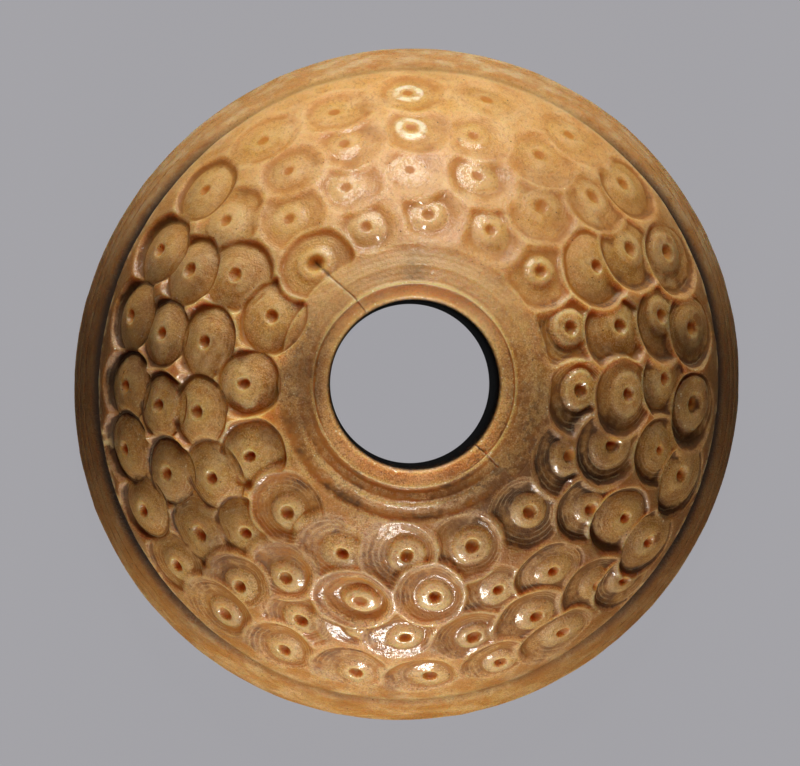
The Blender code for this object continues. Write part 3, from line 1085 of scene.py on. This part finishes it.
# painted shade: the rim's hollow painted nearly black, most of all at the sides
bone.paint((rim_hollow * 1.35).held(), NIGHT)
# painted highlight along the arris above the rim's hollow, at the sides
arris_light = arris * mottle.between(0.42, 0.50) * blots.between(0.40, 0.54)
bone.paint(arris_light * 0.75, PALE)
bone.paint((speck * 0.8 + crack * blots.between(0.30, 0.5) * 0.8).held(), NIGHT)
# painted glints: pale flecks strewn on the sharpest edges
fleck = 1.0 - strewn(place, 5.0).between(0.12, 0.24)
fleck = fleck * (1.0 - share.between(1.1, 1.25) * (1.0 - collar))
sharp = (0.0 - hollow).between(0.12, 0.40) * (1.0 - share.between(0.0, 0.3) * on_boss * 0.8)
painted_glint = fleck * (sharp + collar * 0.25).held() * blots.between(0.45, 0.55)
bone.paint(painted_glint * 0.8, PAINTED_HIGHLIGHT)
print("nodes so far:", len(bone.nodes))

# %% [markdown]
# ## Collar and bore
# The turned lines of the collar hold amber and dark dirt, less where hands rubbed them. The wall
# of the bore is painted nearly black, as painted shade, for it lies deep in shade.

# %% Paint the collar and the bore
turned_hollow = collar * (hollow * 2.0 + hollow_wide * 1.5 + (blots - 0.45) * 1.5).held()
turned_hollow = turned_hollow * (1.0 - rubbed * 0.5)
bone.paint(turned_hollow * 0.7, AMBER)
bone.paint(turned_hollow * mottle.between(0.45, 0.62) * 0.7, DARK)
bone.paint(collar * rubbed * 0.35, PALE)
# painted shade: the bore's wall nearly black
bone.paint(bore_wall, BORE_BROWN)
print("nodes so far:", len(bone.nodes))

# %% [markdown]
# ## Polish
# Handling leaves a broken polish: bright on the bosses, in streaks and sparkles, and none in pits,
# on dirt or on the painted shade. It is a thin clear coat over rougher bone. Light goes a little
# way into bone, most of all red light, which is what the subsurface values say.

# %% Gloss and glow
streaks = noise(streaky, 22.0, 2.0, 0.6)
sparkle = noise(place, 9.0, 3.0, 0.75)
rough = 0.30 + fine * 0.20 + crease * 0.15 + dirt_and_shade * 0.3 + rim_hollow * 0.3
polish = 0.45 - rubbed * 0.35 + on_boss * (0.4 + rubbed * 0.2) + (mottle - 0.5) * 1.6
polish = polish * (streaks * 0.4 + sparkle * 0.6).between(0.46, 0.54)
polish = polish * (1.0 - pit) * (1.0 - dirt_and_shade * 0.9).held() * (1.0 - rim_hollow)
bone.feed_surface({
    "Base Color": bone.colour,
    "Roughness": rough.held(),
    "Coat Weight": polish.held(),
    "Coat Roughness": 0.09,
    "IOR": 1.54,
    "Specular IOR Level": 0.3,
    "Subsurface Weight": 1.0,
    "Subsurface Radius": (1.0, 0.5, 0.2),
    "Subsurface Scale": 0.0013,
})
print("nodes so far:", len(bone.nodes))

# %% [markdown]
# ## The finest relief
# Rings of the bit, lines of the turning tool, sandy grain and the mouths of the blood channels are
# only hundredths of a millimetre deep. A bump is enough for these, where modelling them would
# take many millions of faces.

# %% Bump
RELIEF = 0.00004
rings = (share * 70.0 + fine * 4.0).sine() * share.between(0.4, 0.5) * in_mark
turned = (from_bore * 30.0 + mottle * 5.0).sine() * collar
height = (rings * 0.09 * blots.between(0.4, 0.7) + turned * 0.15 * blots
          + fine * (0.5 + fresh * 0.4) + sand * (0.3 + fresh * 0.4) + grain * 0.4 - speck * 1.2)
bump = bone.node("ShaderNodeBump", {}, {"Strength": 1.0, "Distance": RELIEF, "Height": height},
                 output="Normal")
bone.feed_surface({"Normal": bump})
whorl.data.materials.clear()
whorl.data.materials.append(bone.material)
print("nodes in the bone finish:", len(bone.nodes))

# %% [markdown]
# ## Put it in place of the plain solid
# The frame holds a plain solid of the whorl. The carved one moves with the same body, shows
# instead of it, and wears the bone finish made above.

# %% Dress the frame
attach(whorl, "root")
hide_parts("whorl")
print("dressed with:", whorl.name)

# %% [markdown]
# ## Floor
# The whorl lies on a plain pale floor that gives off a little light, as a light table does, so
# almost no shadow falls round it. The floor is hidden from the light that bounces off the bone,
# or it would fill the cuts and show in the polish.

# %% Lay the floor
bpy.ops.object.select_all(action="DESELECT")
bpy.ops.mesh.primitive_plane_add(size=2.0, location=(0.0, 0.0, 0.0))
floor = bpy.context.object
floor.name = "floor"
table = Finish("pale floor", (0.02, 0.02, 0.02, 1.0))
table.feed_surface({
    "Base Color": table.colour,
    "Roughness": 0.9,
    "Specular IOR Level": 0.0,
    "Emission Color": (0.362, 0.358, 0.382, 1.0),
    "Emission Strength": 0.985,
})
floor.data.materials.append(table.material)
floor.visible_diffuse = False
floor.visible_glossy = False
print("floor, m:", list(floor.dimensions[:2]))

# %% [markdown]
# ## Lights
# Three soft lamps: two large ones stand low on opposite sides, so that light grazes the marks and
# shows their depth, and a small high one adds sharper highlights. Each is given by its bearing
# and elevation in degrees, its distance, width and height in metres, and its power in watts.

# %% Hang the lamps
WARM = (1.0, 0.97, 0.92)
LAMP_AIM = Vector((0.0, 0.0, 0.006))
LAMPS = (("far lamp", 90.0, 17.0, 0.42, 0.32, 0.22, 2.15),
         ("near lamp", 267.0, 11.0, 0.40, 0.13, 0.12, 1.75),
         ("high lamp", 86.0, 55.0, 0.50, 0.05, 0.05, 0.50))
scene = bpy.context.scene
for name, azimuth, elevation, distance, width, height, power in LAMPS:
    lamp = bpy.data.lights.new(name, "AREA")
    lamp.shape = "RECTANGLE"
    lamp.size = width
    lamp.size_y = height
    lamp.energy = power
    lamp.color = WARM
    holder = bpy.data.objects.new(name, lamp)
    scene.collection.objects.link(holder)
    around, up = math.radians(azimuth), math.radians(elevation)
    aim = Vector((math.cos(up) * math.cos(around), math.cos(up) * math.sin(around), math.sin(up)))
    holder.location = aim * distance + LAMP_AIM
    holder.rotation_euler = aim.to_track_quat("Z", "Y").to_euler()
print("lamps:", [lamp[0] for lamp in LAMPS])

# %% Light of the room
world = bpy.data.worlds.new("studio")
scene.world = world
world.use_nodes = True
room = world.node_tree.nodes["Background"]
room.inputs["Color"].default_value = (0.8, 0.82, 0.86, 1.0)
room.inputs["Strength"].default_value = 0.02
scene.view_settings.view_transform = "Standard"
scene.view_settings.look = "None"
print("light of the room:", round(room.inputs["Strength"].default_value, 3))

# %% [markdown]
# ## Camera
# The camera looks almost straight down the bore, from a hand's length away, and its long lens
# makes the whorl fill the view. Its lean from upright is given in degrees along each axis.

# %% Place the camera
CAMERA_HEIGHT = 0.1849
CAMERA_LEAN = (-0.71, 0.17)
CAMERA_LENS = 212.5
CAMERA_SENSOR = 36.0
CAMERA_NEAREST = 0.01
AIM_POINT = Vector((-0.000247, 0.000051, 0.0))
camera_data = bpy.data.cameras.new("camera")
camera = bpy.data.objects.new("camera", camera_data)
scene.collection.objects.link(camera)
camera_data.sensor_width = CAMERA_SENSOR
camera_data.lens = CAMERA_LENS
camera_data.clip_start = CAMERA_NEAREST
back = Vector([math.tan(math.radians(lean)) for lean in CAMERA_LEAN] + [1.0]).normalized()
right = Vector((0.0, 1.0, 0.0)).cross(back).normalized()
camera.location = AIM_POINT + back * CAMERA_HEIGHT
camera.rotation_euler = Matrix((right, back.cross(right), back)).transposed().to_euler()
scene.camera = camera
print("camera above the floor, m:", round(camera.location.z, 4))
